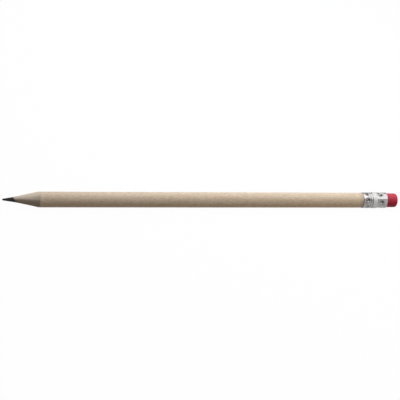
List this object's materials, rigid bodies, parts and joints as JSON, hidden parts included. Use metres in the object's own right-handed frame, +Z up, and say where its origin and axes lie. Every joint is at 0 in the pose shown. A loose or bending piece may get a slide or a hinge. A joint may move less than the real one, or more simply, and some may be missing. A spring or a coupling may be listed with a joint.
{
  "type": "pencil with eraser",
  "caption": "Round natural-wood pencil with a sharpened graphite point, a crimped aluminium ferrule and a red eraser, for writing and rubbing out.",
  "frame": {"origin": "middle of the pencil's length, on the surface that it lies on, under its axis", "axes": "+X along the pencil from the point to the eraser, +Z up, -Y the side that faces the camera"},
  "size_m": [0.19, 0.0076, 0.0076],
  "materials": {
    "wood": "matte",
    "glue": "matte",
    "graphite": "satin",
    "ferrule": "satin",
    "eraser": "matte"
  },
  "bodies": {
    "root": {"upper_slat": "wood", "lower_slat": "wood", "glue_line_front": "glue", "glue_line_back": "glue", "graphite_lead": "graphite", "ferrule": "ferrule", "eraser": "eraser"}
  },
  "joints": []
}
